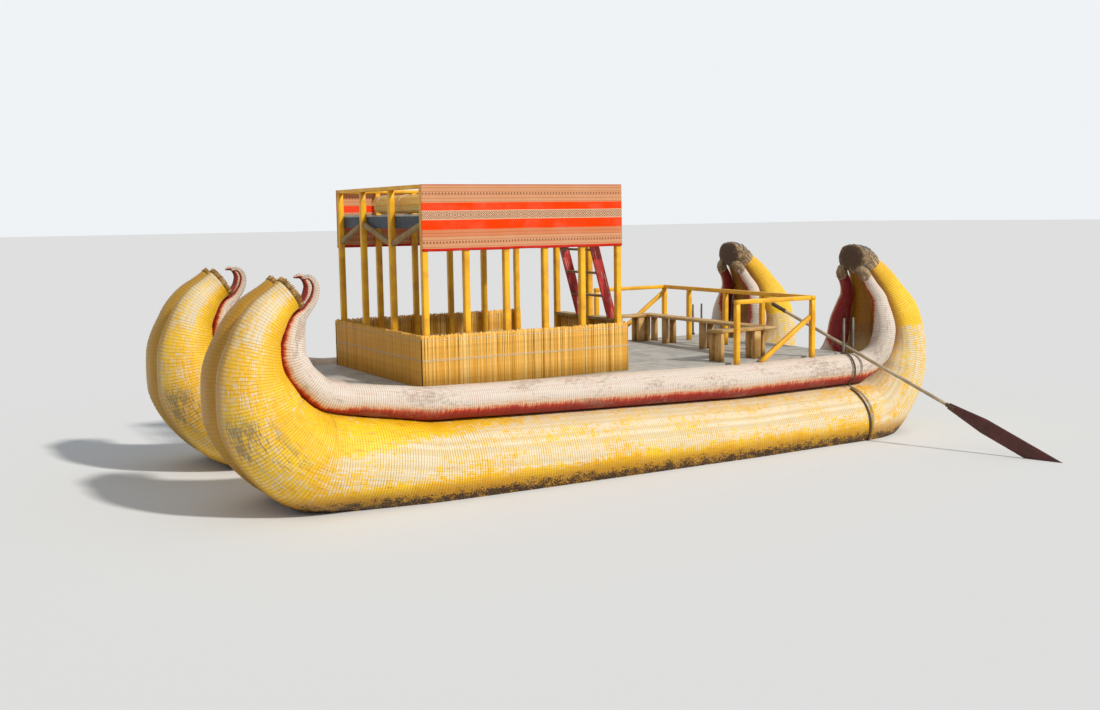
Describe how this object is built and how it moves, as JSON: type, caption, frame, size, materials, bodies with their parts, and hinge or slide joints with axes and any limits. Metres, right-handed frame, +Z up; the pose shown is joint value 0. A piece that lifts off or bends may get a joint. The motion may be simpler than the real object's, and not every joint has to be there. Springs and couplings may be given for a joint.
{
  "type": "double-hulled reed boat",
  "caption": "Catamaran of bound reed bundles with curled ends, gunwale rolls, deck, two-level open cabin, ladder, railed aft deck with benches, and a sculling oar between thole posts.",
  "frame": {"origin": "on the centreline on top of the deck, amidships, in the plane of the cabin's aft posts; the still water is 1.25 m below it", "axes": "+X forward to the bows, +Y to port, +Z up"},
  "size_m": [10.9296, 7.4352, 4.185],
  "materials": {
    "hull_reed": "bound reeds under faded yellow paint",
    "roll_reed": "bound reeds, cream on top and dark red below",
    "cut_reed": "dry brown reed ends",
    "brown_matting": "weathered reed matting",
    "deck_paint": "worn pale grey paint",
    "yellow_timber": "yellow paint, faded",
    "ochre_timber": "weathered ochre timber",
    "dark_blue_timber": "dark blue-grey paint",
    "reed_mat": "golden upright reeds sewn side by side",
    "striped_cloth": "woven orange and peach bands",
    "red_timber": "red paint with white wear",
    "bare_timber": "unpainted, weathered",
    "bench_timber": "unpainted planks, worn smooth",
    "grey_timber": "silvered round pole",
    "oar_red": "dark red-brown paint",
    "rope": "laid plant fibre rope"
  },
  "bodies": {
    "boat": {"bundle_port_outer": "hull_reed", "roll_port_outer": "roll_reed", "bundle_port_inner": "hull_reed", "roll_port_inner": "roll_reed", "bundle_starboard_outer": "hull_reed", "roll_starboard_outer": "roll_reed", "bundle_starboard_inner": "hull_reed", "roll_starboard_inner": "roll_reed", "bow_collars": "cut_reed", "stern_caps": "brown_matting", "roll_end_wraps": "brown_matting", "deck": "deck_paint", "crossbeams": "bare_timber", "cabin_posts": "yellow_timber", "top_rail": "yellow_timber", "platform_joists": "yellow_timber", "side_beams": "yellow_timber", "aft_sill": "yellow_timber", "platform_boards": "deck_paint", "platform_fascias": "dark_blue_timber", "knee_braces": "ochre_timber", "wall_port": "reed_mat", "wall_starboard": "reed_mat", "wall_fore": "reed_mat", "wall_aft": "reed_mat", "rolled_mat": "reed_mat", "cloth_port": "striped_cloth", "cloth_starboard": "striped_cloth", "ladder_boards": "red_timber", "ladder_treads": "bare_timber", "aft_rail": "yellow_timber", "side_rail_port": "yellow_timber", "side_rail_starboard": "yellow_timber", "bench_aft": "bench_timber", "bench_port": "bench_timber", "bench_starboard": "bench_timber", "tholes_port": "grey_timber", "tholes_starboard": "grey_timber", "roll_lashings": "rope"},
    "grommet": {"oar_grommet": "rope"},
    "oar": {"oar_shaft": "bare_timber", "oar_blade": "oar_red"}
  },
  "joints": [
    {"name": "oar_sweep", "type": "hinge", "parent": "boat", "child": "grommet", "pos_m": [-3.8, 1.772, 0.1], "axis": [0, 0, 1], "range_deg": [-28, 6]},
    {"name": "oar_dip", "type": "hinge", "parent": "grommet", "child": "oar", "pos_m": [-3.8, 1.772, 0.1], "axis": [-0.9604, -0.2788, 0], "range_deg": [-25, 2]}
  ]
}
